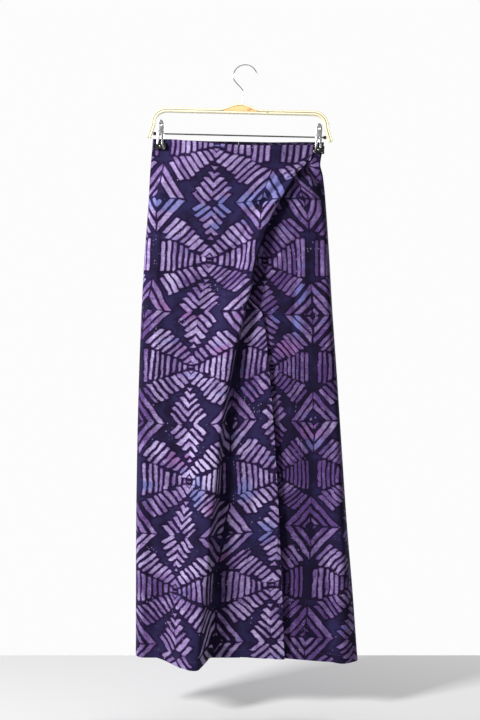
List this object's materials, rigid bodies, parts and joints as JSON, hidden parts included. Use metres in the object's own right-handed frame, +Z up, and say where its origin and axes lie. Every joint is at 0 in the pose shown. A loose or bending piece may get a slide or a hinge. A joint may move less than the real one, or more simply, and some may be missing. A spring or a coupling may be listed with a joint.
{
  "type": "batik wrap pants on a clip hanger",
  "caption": "Batik cotton wrap pants whose long front overlap rolls back into a soft standing fold, hung flat by the waist from a bentwood hanger with metal clips.",
  "frame": {"origin": "inside top of the hanger's hook, where a rail carries it", "axes": "+Z up, the front of the garment faces -Y, +X to the right of someone looking at the front"},
  "size_m": [0.4521, 0.0972, 1.217],
  "materials": {
    "batik_cotton": "indigo and lilac wax-resist print on plain woven cotton, matt with a faint sheen",
    "bentwood": "pale birch, satin lacquer",
    "wedge_wood": "orange-tan wood, satin lacquer",
    "chrome_wire": "bright plated",
    "dark_steel": "smooth, darkened",
    "black_rubber": "matt black"
  },
  "bodies": {
    "root": {"front_wrap": "batik_cotton", "left_leg_front": "batik_cotton", "left_leg_back": "batik_cotton", "right_leg_front": "batik_cotton", "right_leg_back": "batik_cotton", "bow_outer_strip": "bentwood", "bow_inner_strip": "bentwood", "bow_wedge": "wedge_wood", "hook_wire": "chrome_wire", "cross_bar": "dark_steel", "bar_end_left": "black_rubber", "bar_end_right": "black_rubber", "clip_left_spring": "chrome_wire", "clip_left_front_jaw": "chrome_wire", "clip_left_back_jaw": "chrome_wire", "clip_left_front_pad": "black_rubber", "clip_left_back_pad": "black_rubber", "clip_right_spring": "chrome_wire", "clip_right_front_jaw": "chrome_wire", "clip_right_back_jaw": "chrome_wire", "clip_right_front_pad": "black_rubber", "clip_right_back_pad": "black_rubber"}
  },
  "joints": []
}
